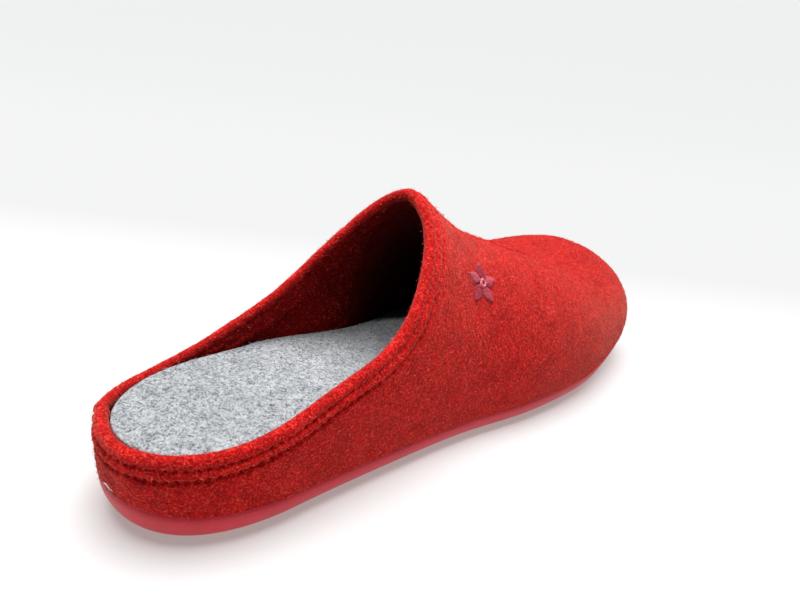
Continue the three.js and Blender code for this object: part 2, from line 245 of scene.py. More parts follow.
# Tones of the materials, as places on a ramp and their colours
WHITE = (1.0, 1.0, 1.0)
RED_FIBRES = [
    (0.49, (0.16, 0.001, 0.002)),
    (0.6, (0.55, 0.003, 0.005)),
    (0.72, (0.95, 0.1, 0.07)),
]
RED_CLUMPS = [(0.34, (0.22, 0.001, 0.002)), (0.66, (0.84, 0.012, 0.011))]
RED_PATCHES = [(0.35, (0.78, 0.74, 0.74)), (0.65, WHITE)]
# Painted shade: this ramp darkens the felt inside the shoe, and most deep inside it
RED_INSIDE_SHADE = [(0.0, WHITE), (0.5, (0.45, 0.34, 0.34)), (1.0, (0.07, 0.02, 0.02))]
GREY_FLECKS = [
    (0.52, (0.48, 0.493, 0.505)),
    (0.61, (0.31, 0.322, 0.335)),
    (0.69, (0.03, 0.034, 0.046)),
]
GREY_BLOTS = [(0.38, (0.1, 0.107, 0.118)), (0.56, (0.44, 0.453, 0.466))]
GREY_CLOUDS = [(0.36, (0.8, 0.81, 0.82)), (0.6, WHITE)]
RUBBER_TONE = [(0.35, (0.58, 0.017, 0.033)), (0.65, (0.69, 0.026, 0.047))]
RUBBER_ROUGHNESS = [(0.3, (0.36, 0.36, 0.36)), (0.7, (0.5, 0.5, 0.5))]

# Dark and pale strands of each sewing thread, and dark, dull and pale fibres of each wool
THREAD_TONES = {
    "red_thread": ((0.16, 0.003, 0.004), (0.36, 0.008, 0.009)),
    "plum_thread": ((0.22, 0.008, 0.022), (0.58, 0.045, 0.085)),
    "pink_thread": ((0.5, 0.08, 0.12), (0.8, 0.22, 0.27)),
}
WOOL_TONES = {
    "red_wool_fibre": ((0.4, 0.005, 0.006), (0.72, 0.013, 0.013), (1.0, 0.18, 0.14)),
    "grey_wool_fibre": ((0.14, 0.15, 0.16), (0.4, 0.415, 0.43), (0.6, 0.615, 0.63)),
    "pale_wool_fibre": ((0.55, 0.5, 0.49), (0.7, 0.66, 0.65), (0.85, 0.82, 0.8)),
}

# Sockets of a mix node: its two colours and its result
FIRST_COLOR = 6
SECOND_COLOR = 7
MIXED_COLOR = 2

# Softbox, like a sun: its strength, its width in degrees and the direction it comes from
SOFTBOX_STRENGTH = 5.6
SOFTBOX_WIDTH = 52
SOFTBOX_FROM = (-0.06, 0.13, 1.0)

# Narrow reflector behind the heel that lights the insole under the instep: the place on the shoe
# that it points at, its own place from there in metres, its cone in degrees and its size in metres
REFLECTOR_WATTS = 5.0
REFLECTOR_AT = (0, 112, 22)
REFLECTOR_FROM = (0.06, -0.3, 0.38)
REFLECTOR_CONE = 13
REFLECTOR_SIZE = 0.03
ROOM_LIGHT = 0.05
ROOM_TINT = (0.95, 0.97, 1.0, 1)

# Paper backdrop, in metres: how far below the sole and how far to the front and back it lies
# flat, its bend, how far off it fades, and its size
PAPER_DROP = 0.0002
PAPER_NEAR = -2.5
PAPER_FAR = 1.3
PAPER_BEND = 0.8
BEND_STEPS = 24
PAPER_FADE = (0.2, 0.9)
PAPER_TOP = 2.2
PAPER_HALF = 3.5

# Paper's tone and glow at the shoe, at the start and the end of the fade, and its glow far up. The
# glow is painted light, which also lifts the shadows on the paper near the shoe
PAPER_TONES = ((0.46, 0.465, 0.465), (0.25, 0.253, 0.252), (0.0, 0.0, 0.0))
PAPER_GLOW = ((0.31, 0.3, 0.295), (0.42, 0.42, 0.42), (0.9, 0.91, 0.905), (0.865, 0.88, 0.87))
FAR_UP = 0.6

# Camera: place of its target on the shoe, direction in degrees, distance, and focal length as a
# share of the sensor's width
TARGET = (-18.4, 125.8, 32.8)
AZIMUTH = 43.0
ELEVATION = 21.4
ROLL = 6.3
DISTANCE = 248
FOCAL_SHARE = 0.751
SENSOR = 36
CLIP_START = 0.01


def along(table, column, at):
    """Value of a column at a share of the length, on a smooth curve through the table's rows."""
    x = np.array(table["at"], float)
    v = np.array(table[column], float)
    at = np.clip(at, x[0], x[-1])
    span = np.diff(x)
    rise = np.diff(v) / span
    middle = (rise[:-1] * span[1:] + rise[1:] * span[:-1]) / (span[:-1] + span[1:])
    slope = np.concatenate([rise[:1], middle, rise[-1:]])
    i = np.clip(np.searchsorted(x, at, side="right") - 1, 0, len(x) - 2)
    t = (at - x[i]) / span[i]
    return (
        (2 * t**3 - 3 * t**2 + 1) * v[i]
        + (t**3 - 2 * t**2 + t) * span[i] * slope[i]
        + (3 * t**2 - 2 * t**3) * v[i + 1]
        + (t**3 - t**2) * span[i] * slope[i + 1]
    )


def round_end(distance, reach, power):
    short = np.clip(1 - distance / reach, 0, 1)
    return (1 - short**power) ** (1 / power)


def underside_height(y):
    t = np.maximum(0, (y - SPRING_START) / (LENGTH - SPRING_START))
    return TOE_SPRING * t**2


def sole_edge_height(y):
    return underside_height(y) + along(SOLE_EDGE, "thickness", y / LENGTH)


def ridge_point(y):
    """Top line of the last at a station."""
    ridge_y = HEEL_LEAN + (1 - (HEEL_LEAN + TOE_LEAN) / LENGTH) * y
    at = ridge_y / LENGTH
    x = (along(PLAN, "centre", at) + along(RIDGE, "aside", at)) * BALL_WIDTH
    z = sole_edge_height(ridge_y) + along(RIDGE, "height", at) * INSTEP_HEIGHT
    return np.stack([x, ridge_y, z], -1)


def last_point(y, side, angle):
    """Point of the felt's outer surface, at an angle from the widest line to the ridge."""
    y, side, angle = np.broadcast_arrays(np.asarray(y, float), side, angle)
    at = y / LENGTH
    power = along(SECTION, "power", at) + np.where(side < 0, along(SECTION, "inner", at), 0)
    edge = 2 / power
    below = np.sin(np.radians(along(SECTION, "tuck", at))) ** edge
    inward = 1 - np.abs(np.cos(angle)) ** edge
    inward = np.where(angle >= RIGHT_ANGLE, 1, inward)
    up = (np.sign(angle) * np.abs(np.sin(angle)) ** edge + below) / (1 + below)
    half = along(PLAN, "half", at) * BALL_WIDTH
    half = half * round_end(y, HEEL_ROUND, HEEL_POWER) * round_end(LENGTH - y, TOE_ROUND, TOE_POWER)
    x = along(PLAN, "centre", at) * BALL_WIDTH + side * half
    ridge = ridge_point(y)
    foot = sole_edge_height(y)
    return np.stack(
        [
            x + (ridge[..., 0] - x) * inward,
            y + (ridge[..., 1] - y) * inward,
            foot + (ridge[..., 2] - foot) * up,
        ],
        -1,
    )


def lowest_angle(y):
    return -np.radians(along(SECTION, "tuck", y / LENGTH))


def angle_at_height(y, side, height):
    """Angle at which each section reaches a surface of given height(y, side)."""
    low, high = lowest_angle(y), np.full_like(y, RIGHT_ANGLE)
    for _ in range(BISECTIONS):
        middle = (low + high) / 2
        point = last_point(y, side, middle)
        under = point[..., 2] < height(point[..., 1], side)
        low, high = np.where(under, middle, low), np.where(under, high, middle)
    ridge = ridge_point(y)
    closed = ridge[..., 2] < height(ridge[..., 1], side) + TOUCHING
    return np.where(closed, RIGHT_ANGLE, (low + high) / 2)


def collar_height(y, side):
    at = y / LENGTH
    share = along(COLLAR, "height", at)
    share = share + np.maximum(0, at - COLLAR["at"][-1]) * COLLAR_END_SLOPE
    share = share + np.where(side < 0, along(COLLAR, "inner", at), 0)
    return sole_edge_height(y) + share * INSTEP_HEIGHT


def below_collar(distance):
    """Height of a line that runs a distance below the collar's edge."""

    def height(y, side):
        slope = (collar_height(y + 1, side) - collar_height(y - 1, side)) / 2
        return collar_height(y, side) - distance * np.hypot(1, slope)

    return height


def station_on_ridge(height):
    low, high = 0.0, float(LENGTH)
    for _ in range(BISECTIONS):
        middle = (low + high) / 2
        ridge = ridge_point(np.array(middle))
        if ridge[2] > height(ridge[1], OUTER_SIDE):
            low = middle
        else:
            high = middle
    return (low + high) / 2


def crowded(start, end, count):
    """Stations from start to end, crowded towards both."""
    return start + (end - start) * (1 - np.cos(np.pi * np.arange(count + 1) / count)) / 2


def around(stations):
    """Columns round the last: the outer side to the toe, then the inner side back to the heel."""
    y = np.concatenate([stations, stations[1:-1][::-1]])
    side = np.where(np.arange(len(y)) < len(stations), OUTER_SIDE, INNER_SIDE)
    return y, side


def outward_normals(loop):
    before, after = np.roll(loop, 1, 0), np.roll(loop, -1, 0)
    normal = np.stack([after[:, 1] - before[:, 1], before[:, 0] - after[:, 0]], -1)
    normal /= np.linalg.norm(normal, axis=1, keepdims=True) + 1e-9
    return np.concatenate([normal, np.zeros((len(loop), 1))], 1)


def merged(points):
    """Indices that make equal points one: (first index of each kept point, kept index of each point)."""
    keys = np.round(points, KEY_DIGITS)
    _, first, back = np.unique(keys, axis=0, return_index=True, return_inverse=True)
    order = np.argsort(first)
    rank = np.empty(len(order), int)
    rank[order] = np.arange(len(order))
    return first[order], rank[back.ravel()]


def band(lower, upper):
    """Faces between two closed loops of indices, the second on the left of the first."""
    faces = []
    ring = zip(lower, np.roll(lower, -1), np.roll(upper, -1), upper)
    for corners in ring:
        face = list(dict.fromkeys(int(c) for c in corners))
        if len(face) > 2:
            faces.append(face)
    return faces


def vertex_normals(points, faces):
    """Area-weighted unit normals of a mesh of triangles and quads."""
    normals = np.zeros_like(points)
    for size in (3, 4):
        chosen = np.array([f for f in faces if len(f) == size])
        if not len(chosen):
            continue
        a, b, c = (points[chosen[:, k]] for k in range(3))
        d = points[chosen[:, size - 1]]
        area = np.cross(c - a, d - b) if size == 4 else np.cross(b - a, c - a)
        for k in range(size):
            np.add.at(normals, chosen[:, k], area)
    return normals / (np.linalg.norm(normals, axis=1, keepdims=True) + 1e-12)


def smoothstep(x, low, high):
    t = np.clip((x - low) / (high - low), 0, 1)
    return t * t * (3 - 2 * t)


def uneven(points, longest, size, seed):
    """Soft random rises and dips, from a few crossing waves."""
    rng = np.random.default_rng(seed)
    total = np.zeros(len(points))
    for _ in range(WAVES):
        direction = rng.normal(size=3)
        direction /= np.linalg.norm(direction)
        wave = longest * rng.uniform(SHORTEST_WAVE, 1)
        total += np.sin(points @ direction * 2 * np.pi / wave + rng.uniform(0, 2 * np.pi))
    return size * total / WAVES


def felt_swell(points):
    """How far the felt rises off the last: slow swells and finer lumps."""
    return uneven(points, *SLOW_SWELL) + uneven(points, *FINE_SWELL)


def traced(line, side):
    """(stations, angles, run from the heel) of close points on a line below the collar."""
    y = crowded(0, station_on_ridge(line), LINE_SAMPLES)
    sides = np.full_like(y, side)
    angle = angle_at_height(y, sides, line)
    path = last_point(y, sides, angle)
    run = np.concatenate([[0], np.cumsum(np.linalg.norm(np.diff(path, axis=0), axis=1))])
    return y, angle, run


def even_stations(line, side):
    """Stations of points spaced evenly along a line below the collar, and each point's run from the heel."""
    y, _, run = traced(line, side)
    even = run[-1] * np.arange(REAR_STATIONS + 1) / REAR_STATIONS
    return np.interp(even, run, y), even


def round_the_opening(line):
    """(station, side, run from the heel) of points on a line: outer side to the ridge, inner side back."""
    outer, outer_run = even_stations(line, OUTER_SIDE)
    inner, inner_run = even_stations(line, INNER_SIDE)
    y = np.concatenate([outer, inner[-2:0:-1]])
    side = np.where(np.arange(len(y)) < len(outer), OUTER_SIDE, INNER_SIDE)
    return y, side, np.concatenate([outer_run, inner_run[-2:0:-1]])


def solid_of_rings(rings):
    """(points, faces) of a closed solid through a stack of rings."""
    count = len(rings[0])
    stack = np.concatenate(rings)
    first, back = merged(stack)
    loops = back.reshape(-1, count)
    faces = []
    for lower, upper in zip(loops[:-1], loops[1:]):
        faces += band(lower, upper)
    return stack[first], faces


def rings_inward(loop, y, count, height):
    middle = ridge_point(y)
    rings = []
    for k in range(1, count + 1):
        share = k / count
        ring = middle if k == count else loop + (middle - loop) * share
        ring = ring.copy()
        ring[:, 2] = height(ring, share)
        rings.append(ring)
    return rings


class Felt:
    """The upper's outer surface: rows from the sole to a line below the collar, and rows round the collar."""

    def __init__(self):
        line = below_collar(BAND_DEPTH)
        y, side, _ = round_the_opening(line)
        toe, toe_side = around(crowded(station_on_ridge(line), LENGTH, FRONT_STATIONS))
        tip = REAR_STATIONS
        wall_y = np.concatenate([y[: tip + 1], toe[1:], y[tip:]])
        wall_side = np.concatenate([side[: tip + 1], toe_side[1:], [INNER_SIDE], side[tip + 1 :]])
        bottom = angle_at_height(wall_y, wall_side, lambda at, _: sole_edge_height(at) + GAP)
        top = angle_at_height(wall_y, wall_side, line)
        points, below, runs, sides = [], [], [], []
        for share in np.arange(WALL_ROWS + 1) / WALL_ROWS:
            points.append(last_point(wall_y, wall_side, bottom * (1 - share) + top * share))
            below.append(np.full(len(wall_y), BAND_DEPTH + WALL_DEPTH * (1 - share)))
            runs.append(np.zeros(len(wall_y)))
            sides.append(wall_side)
        for distance in np.linspace(BAND_DEPTH, HEM_THICKNESS / 2, BAND_ROWS + 1)[1:]:
            line = below_collar(distance)
            y, side, run = round_the_opening(line)
            points.append(last_point(y, side, angle_at_height(y, side, line)))
            below.append(np.full(len(y), distance))
            runs.append(run)
            sides.append(side)
        stack = np.concatenate(points)
        first, back = merged(stack)
        self.points = stack[first]
        self.below = np.concatenate(below)[first]
        self.run = np.concatenate(runs)[first]
        self.inner_side = np.concatenate(sides)[first] < 0
        loops = np.split(back, np.cumsum([len(row) for row in points])[:-1])
        wall = loops[: WALL_ROWS + 1]
        under_band = np.concatenate([wall[-1][: tip + 1], wall[-1][1 - tip :]])
        collar = [under_band, *loops[WALL_ROWS + 1 :]]
        self.faces = []
        for stacked in (wall, collar):
            for lower, upper in zip(stacked[:-1], stacked[1:]):
                self.faces += band(lower, upper)
        self.normals = vertex_normals(self.points, self.faces)
        self.bottom = wall[0]
        self.rim = collar[-1]

    def swell(self):
        """Unevenness of the felt, and the overlap of the folded edge's two ends."""
        past = self.run - OVERLAP_AT
        overlap = smoothstep(past, -OVERLAP_EDGE, OVERLAP_EDGE) * np.exp(-np.maximum(past, 0) / OVERLAP_RUN)
        low, high = (edge - HEM_DEPTH for edge in OVERLAP_FOOT)
        overlap *= smoothstep(-self.below, low, high) * self.inner_side
        return felt_swell(self.points) + OVERLAP_RISE * overlap

    def dent(self, row):
        """Share of a stitch row's full depth, deepest at the stitches' ends."""
        at_end = 0.5 + 0.5 * np.cos(2 * np.pi * self.run / STITCH_PITCH)
        pull = PULL_LEAST + PULL_ADDED * at_end**PULL_SHARPNESS
        pull = np.clip(pull + uneven(self.points, *UNEVEN_PULL), *PULL_LIMITS)
        pull = pull * (1 - (1 - STITCH_FADE_TO) * smoothstep(self.points[:, 1], *STITCH_FADE))
        return pull * np.exp(-(((self.below - row) / GROOVE_HALF_WIDTH) ** 2))

    def stitched(self):
        """Rows of stitching pulled into the felt, and the roll of felt between them."""
        total = ROLL_RISE * np.exp(-(((self.below - ROLL_AT) / ROLL_HALF_WIDTH) ** 2))
        for row, depth in STITCH_ROWS:
            total = total - depth * self.dent(row)
        return total

    def thickness(self):
        folded = smoothstep(-self.below, -HEM_DEPTH - HEM_STEP, -HEM_DEPTH)
        wall = FELT + (HEM_THICKNESS - FELT) * folded
        for row, depth in STITCH_ROWS:
            wall = wall - GROOVE_THINNING * depth * self.dent(row)
        return wall


def folded_rim(felt, outer, inner):
    """Rows of points over the collar's edge, from the outer side to the inner one."""
    rim = felt.rim
    normal = felt.normals[rim]
    tangent = np.roll(felt.points[rim], -1, 0) - np.roll(felt.points[rim], 1, 0)
    upward = np.cross(normal, tangent)
    upward /= np.linalg.norm(upward, axis=1, keepdims=True)
    middle = (outer[rim] + inner[rim]) / 2
    radius = np.linalg.norm(outer[rim] - inner[rim], axis=1, keepdims=True) / 2
    fold = []
    for k in range(1, FOLD_ROWS):
        turn = math.pi * k / FOLD_ROWS
        fold.append(middle + normal * radius * math.cos(turn) + upward * radius * math.sin(turn))
    return fold


def upper_surface(felt):
    """(points, faces, faces that bear fuzz, painted shade by how far each point lies inside the shoe) of the
    felt upper.
    """
    swell = felt.swell()[:, None] * felt.normals
    outer = felt.points + swell + felt.stitched()[:, None] * felt.normals
    inner = felt.points + swell - felt.thickness()[:, None] * felt.normals
    bottom = felt.bottom
    level = outward_normals(felt.points[bottom])
    outer[bottom] = felt.points[bottom]
    inner[bottom] = felt.points[bottom] - level * FELT
    for face in (outer, inner):
        face[bottom, 2] = sole_edge_height(face[bottom, 1]) + GAP

    rim = felt.rim
    count = len(outer)
    points = np.concatenate([outer, inner, *folded_rim(felt, outer, inner)])
    faces = list(felt.faces)
    lit = list(felt.faces)
    inside = [[count + i for i in reversed(face)] for face in felt.faces]
    faces += inside
    lit += [face for face in inside if points[face, 1].max() < FUZZY_INSIDE_TO]
    faces += band(bottom + count, bottom)
    rings = [rim] + [2 * count + k * len(rim) + np.arange(len(rim)) for k in range(FOLD_ROWS - 1)]
    rings.append(rim + count)
    for lower, upper in zip(rings[:-1], rings[1:]):
        faces += band(lower, upper)
        lit += band(lower, upper)
    turned = [np.full(len(rim), k / FOLD_ROWS) for k in range(1, FOLD_ROWS)]
    inward = np.concatenate([np.zeros(count), np.ones(count), *turned])
    # Painted shade: 0 outside, 0.5 on the inner side, up to 1 deep inside the shoe
    depth = smoothstep(inward, *INSIDE_SHADE_FROM_TO)
    deeper_shade = smoothstep(points[:, 1], *DEEP_SHADE_FROM_TO)
    return points, faces, lit, depth * (1 + deeper_shade) / 2


def edge_inset(depth):
    """How far the sole's side lies in from its outline, at a depth below its top edge."""
    return EDGE_INSET * np.maximum(0, 1 - depth / EDGE_DEPTH) ** 2


def outsole_surface():
    y, side = around(crowded(0, LENGTH, SOLE_STATIONS))
    edge = last_point(y, side, lowest_angle(y))
    edge[:, 2] = sole_edge_height(edge[:, 1])
    outward = outward_normals(edge)
    rings = []
    for k in range(1, SOLE_ROWS + 1):
        turn = RIGHT_ANGLE * k / SOLE_ROWS
        inset = along(SOLE_EDGE, "tucked_in", edge[:, 1] / LENGTH) * (1 - math.cos(turn))
        inset = inset + edge_inset(along(SOLE_EDGE, "thickness", edge[:, 1] / LENGTH) * math.sin(turn))
        ring = edge - outward * inset[:, None]
        thickness = along(SOLE_EDGE, "thickness", ring[:, 1] / LENGTH)
        ring[:, 2] = underside_height(ring[:, 1]) + thickness * (1 - math.sin(turn))
        rings.append(ring)

    edge = edge - outward * edge_inset(0)

    def underside(ring, share):
        t = np.clip((ring[:, 1] - ARCH_START) / (ARCH_END - ARCH_START), 0, 1)
        arch = ARCH_RISE * np.sin(np.pi * t) ** 2
        return underside_height(ring[:, 1]) + arch * share * (2 - share)

    floor = rings_inward(rings[-1], y, SOLE_RINGS, underside)
    top = rings_inward(edge, y, SOLE_RINGS, lambda ring, share: sole_edge_height(ring[:, 1]))
    return solid_of_rings([*floor[::-1], *rings[::-1], edge, *top])


def insole_surface():
    y, side = around(crowded(0, LENGTH, INSOLE_STATIONS))
    hem_line = below_collar(HEM_DEPTH)

    def thickness(at):
        return along(INSOLE_TOP, "thickness", at / LENGTH)

    def wall(at):
        reach = sole_edge_height(at) + thickness(at) + HEM_STEP - hem_line(at, side)
        return FELT + (HEM_THICKNESS - FELT) * smoothstep(reach, -HEM_EASE, 0)

    def height(at, share):
        return sole_edge_height(at) + GAP + thickness(at) * share

    def ring(share, rounding, sunk):
        loop = last_point(y, side, angle_at_height(y, side, lambda at, _: height(at, share)))
        outward = outward_normals(loop)
        inset = wall(loop[:, 1]) + INSOLE_CLEARANCE + rounding
        loop = loop - outward * inset[:, None]
        loop[:, 2] = height(loop[:, 1], share) - sunk
        return loop

    rings = [ring(0, 0, 0)]
    for k in range(INSOLE_EDGE_ROWS + 1):
        turn = RIGHT_ANGLE * k / INSOLE_EDGE_ROWS
        rings.append(ring(1, INSOLE_EDGE * (1 - math.cos(turn)), INSOLE_EDGE * (1 - math.sin(turn))))
    floor = rings_inward(rings[0], y, INSOLE_FLOOR_RINGS, lambda ring, share: height(ring[:, 1], 0))

    def top(ring, share):
        return height(ring[:, 1], 1) + uneven(ring, *INSOLE_SWELL) * min(1, INSOLE_SWELL_ONSET * share)

    inward = rings_inward(rings[-1], y, INSOLE_RINGS, top)
    points, faces = solid_of_rings([*floor[::-1], *rings, *inward])
    lit_from = len(faces) - (INSOLE_RINGS + 1) * len(y)
    return points, faces, faces[lit_from:]


def make_piece(name, points, faces, origin, material, inside=None):
    mesh = bpy.data.meshes.new(name)
    mesh.from_pydata(((points * MM) + origin).tolist(), [], faces)
    mesh.validate()
    mesh.polygons.foreach_set("use_smooth", [True] * len(mesh.polygons))
    mesh.set_sharp_from_angle(angle=math.radians(SHARP_FROM))
    mesh.materials.append(material)
    # Painted shade inside the shoe, kept as a point attribute
    if inside is not None:
        mesh.attributes.new(INSIDE_SHADE, "FLOAT", "POINT").data.foreach_set("value", inside)
    piece = bpy.data.objects.new(name, mesh)
    bpy.context.scene.collection.objects.link(piece)
    return piece


def make_fibres(points, faces, count, seed):
    """(points, faces) of short curved fibres that stand off the given faces, each tapered to its tip."""
    rng = np.random.default_rng(seed)
    corners = np.array([[f[0], f[k], f[k + 1]] for f in faces for k in range(1, len(f) - 1)])
    a, b, c = (points[corners[:, k]] for k in range(3))
    cross = np.cross(b - a, c - a)
    area = np.linalg.norm(cross, axis=1)
    chosen = rng.choice(len(area), count, p=area / area.sum())
    u, v = rng.random((2, count, 1))
    flip = u + v > 1
    u, v = np.where(flip, 1 - u, u), np.where(flip, 1 - v, v)
    root = a[chosen] + (b - a)[chosen] * u + (c - a)[chosen] * v
    normal = cross[chosen] / (area[chosen][:, None] + 1e-12)
    lean = rng.normal(size=(count, 3))
    lean -= (lean * normal).sum(1, keepdims=True) * normal
    lean /= np.linalg.norm(lean, axis=1, keepdims=True)
    across = np.cross(normal, lean)
    length = rng.uniform(*FIBRE_LENGTH, (count, 1))
    lift = rng.beta(*FIBRE_LIFT_SPREAD, (count, 1)) * FIBRE_LIFT
    curl = rng.normal(0, FIBRE_CURL, (count, 1))
    first_half = lean * (1 - FIBRE_BOW * lift) + normal * lift
    middle = root + length * 0.5 * first_half + across * curl * FIBRE_EARLY_CURL
    tip = middle + length * 0.5 * (lean + normal * (lift - FIBRE_DROOP)) + across * curl
    root = root - normal * FIBRE_ROOT
    turn = across + normal * rng.normal(0, FIBRE_TWIST, (count, 1))
    turn *= FIBRE_WIDTH / 2 / np.linalg.norm(turn, axis=1, keepdims=True)
    strips = np.stack([root - turn, root + turn, middle - turn, middle + turn, tip], 1)
    start = np.arange(count)[:, None] * 5
    quads = (start + np.array([0, 1, 3, 2])).tolist()
    tips = (start + np.array([2, 3, 4])).tolist()
    return strips.reshape(-1, 3), quads + tips


def point_and_normal(y, side, angle):
    """Points of the last and their outward unit normals."""
    point = last_point(y, side, angle)
    ahead = last_point(y + SMALL_STEP, side, angle)
    forward = ahead - last_point(np.maximum(y - SMALL_STEP, 0), side, angle)
    upward = last_point(y, side, angle + SMALL_TURN / 2) - last_point(y, side, angle - SMALL_TURN / 2)
    forward /= np.linalg.norm(forward, axis=-1, keepdims=True)
    upward /= np.linalg.norm(upward, axis=-1, keepdims=True)
    normal = np.cross(forward, upward) * np.asarray(side)[..., None]
    normal /= np.linalg.norm(normal, axis=-1, keepdims=True)
    return point, normal


def tube(path, normal, radius, sides=THREAD_SIDES):
    """(points, faces) of a thread along a path, with pinched ends."""
    path = np.asarray(path, float)
    direction = np.gradient(path, axis=0)
    direction /= np.linalg.norm(direction, axis=1, keepdims=True)
    across = np.cross(direction, normal)
    across /= np.linalg.norm(across, axis=1, keepdims=True)
    up = np.cross(across, direction)
    rings = []
    for k in range(len(path)):
        size = radius * (THREAD_PINCH if k in (0, len(path) - 1) else 1)
        turn = 2 * np.pi * np.arange(sides) / sides
        rings.append(path[k] + size * (np.outer(np.cos(turn), across[k]) + np.outer(np.sin(turn), up[k])))
    faces = [list(range(sides))[::-1], [(len(path) - 1) * sides + i for i in range(sides)]]
    for k in range(len(path) - 1):
        lower = k * sides + np.arange(sides)
        faces += band(lower, lower + sides)
    return np.concatenate(rings), faces


def joined(parts):
    """One (points, faces) of many."""
    points, faces, count = [], [], 0
    for part_points, part_faces in parts:
        points.append(part_points)
        faces += [[count + i for i in face] for face in part_faces]
        count += len(part_points)
    return np.concatenate(points), faces


def collar_stitches():
    """Threads of the two rows of stitching, one after another along each row."""
    threads = []
    for row, depth in STITCH_ROWS:
        for side in (OUTER_SIDE, INNER_SIDE):
            y, angle, run = traced(below_collar(row), side)
            for k in range(int((run[-1] - STITCH_PITCH) / STITCH_PITCH) + 1):
                middle = (k + 0.5) * STITCH_PITCH
                at = middle + STITCH_LENGTH * np.array(STITCH_PLACES)
                station = np.interp(at, run, y)
                tilt = np.interp(at, run, angle)
                point, normal = point_and_normal(station, np.full_like(station, side), tilt)
                sink = depth * np.array(STITCH_SINK) - felt_swell(point)
                threads.append(tube(point - normal * sink[:, None], normal, THREAD_RADIUS))
    return joined(threads)


def flower_plane(angle):
    """Turns flat places on the flower, in millimetres, into steps of station and angle on the last."""
    here = last_point(FLOWER_AT, OUTER_SIDE, angle)
    per_y = (last_point(FLOWER_AT + SMALL_STEP, OUTER_SIDE, angle) - here) / SMALL_STEP
    per_angle = (last_point(FLOWER_AT, OUTER_SIDE, angle + SMALL_STEP) - here) / SMALL_STEP
    forward = per_y / np.linalg.norm(per_y)
    upward = per_angle - forward * (per_angle @ forward)
    upward /= np.linalg.norm(upward)
    return np.linalg.pinv(np.stack([per_y, per_angle], -1)) @ np.stack([forward, upward], -1)


def flower_threads():
    """Satin stitches of a small five-petalled flower, and the knots at its heart."""
    angle = math.radians(FLOWER_ANGLE)
    from_flat = flower_plane(angle)

    def thread(start, end, rise, radius):
        share = np.linspace(0, 1, SATIN_POINTS)
        flat = np.outer(1 - share, start) + np.outer(share, end)
        offset = flat @ from_flat.T
        y = FLOWER_AT + offset[:, 0]
        tilt = angle + offset[:, 1]
        point, normal = point_and_normal(y, np.full_like(y, OUTER_SIDE), tilt)
        arch = rise * np.sin(np.pi * share) ** SATIN_FULLNESS - FLOWER_ROOT + felt_swell(point)
        return tube(point + normal * arch[:, None], normal, radius, SATIN_SIDES)

    petals, heart = [], []
    for k in range(PETALS):
        turn = 2 * math.pi * k / PETALS + FLOWER_TURN
        out = np.array([math.cos(turn), math.sin(turn)])
        across = np.array([-out[1], out[0]])
        for i in range(SATIN_STITCHES):
            share = (i + 0.5) / SATIN_STITCHES
            half = PETAL_WIDTH / 2 * math.sin(math.pi * share**PETAL_BROADEST) ** PETAL_FULLNESS
            middle = out * (PETAL_START + PETAL_LENGTH * share)
            slant = out * SATIN_SLANT
            ends = middle - across * half - slant, middle + across * half + slant
            petals.append(thread(*ends, SATIN_RISE, SATIN_RADIUS))
    for k in range(KNOTS):
        turn = 2 * math.pi * k / KNOTS
        out = np.array([math.cos(turn), math.sin(turn)]) * KNOT_OUT
        across = np.array([-out[1], out[0]]) * KNOT_HALF
        heart.append(thread(out - across, out + across, KNOT_RISE, KNOT_RADIUS))
    return joined(petals), joined(heart)


def loose_fibre():
    """A pale stray fibre caught between the felt and the sole at the back of the heel."""
    normal = np.tile([0.0, -1.0, 0.0], (len(STRAY_PATH), 1))
    return tube(STRAY_PATH, normal, STRAY_RADIUS)


